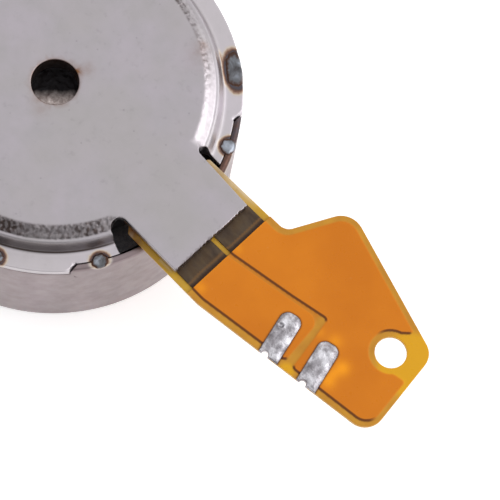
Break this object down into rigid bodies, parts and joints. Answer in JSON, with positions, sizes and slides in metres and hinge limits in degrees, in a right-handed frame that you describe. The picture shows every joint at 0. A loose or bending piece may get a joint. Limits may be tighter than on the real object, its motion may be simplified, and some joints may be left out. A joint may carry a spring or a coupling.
{
  "type": "vibration coin motor",
  "caption": "Coin vibration motor with a welded steel can, pressed bracket with tongue, flexible circuit tail and an off-centre brushed rotor on a fixed shaft",
  "frame": {"origin": "centre of the can's closed face, on the shaft's axis", "axes": "+Z along the shaft from the can's closed face to the bracket's raised face, +X along the tongue and the flexible circuit's tail, +Y to the side where the tail widens"},
  "size_m": [0.0173, 0.01, 0.005],
  "materials": {
    "can_steel": "satin drawn steel, nickel plated",
    "bracket_steel": "satin pressed steel, nickel plated",
    "weld_nugget": "heat-tinted weld metal",
    "shaft_steel": "ground steel",
    "magnet": "nickel plated sintered magnet, matt",
    "bonding_tape": "double-sided acrylic tape",
    "base_film": "amber polyimide film",
    "trace_copper": "tarnished etched copper",
    "coverlay": "orange polyimide coverlay over copper",
    "solder": "bright tin solder",
    "brush_metal": "gold-flashed spring alloy",
    "washer_film": "polyester slip washer",
    "bearing_bronze": "oil-soaked sintered bronze",
    "board": "green solder mask on glass laminate",
    "commutator_gold": "gold plated copper",
    "coil_wire": "enamelled copper wire",
    "tungsten": "sintered tungsten, matt",
    "resin": "black moulded resin"
  },
  "bodies": {
    "stator": {"case": "can_steel", "bracket": "bracket_steel", "weld_spots": "weld_nugget", "shaft": "shaft_steel", "ring_magnet": "magnet", "fpc_bonding_tape": "bonding_tape", "fpc_base_film": "base_film", "fpc_trace_positive": "trace_copper", "fpc_trace_negative": "trace_copper", "fpc_coverlay": "coverlay", "solder_pad_positive": "solder", "solder_pad_negative": "solder", "brush_positive": "brush_metal", "brush_negative": "brush_metal", "brush_solder_joints": "solder", "upper_thrust_washer": "washer_film", "lower_thrust_washer": "washer_film"},
    "rotor": {"rotor_bearing": "bearing_bronze", "rotor_board": "board", "commutator_segments": "commutator_gold", "coil_a": "coil_wire", "coil_b": "coil_wire", "coil_solder_joints": "solder", "counterweight": "tungsten", "rotor_moulding": "resin"}
  },
  "joints": [
    {"name": "rotor_spin", "type": "hinge", "parent": "stator", "child": "rotor", "pos_m": [0, 0, 0], "axis": [0, 0, 1], "continuous": true}
  ]
}
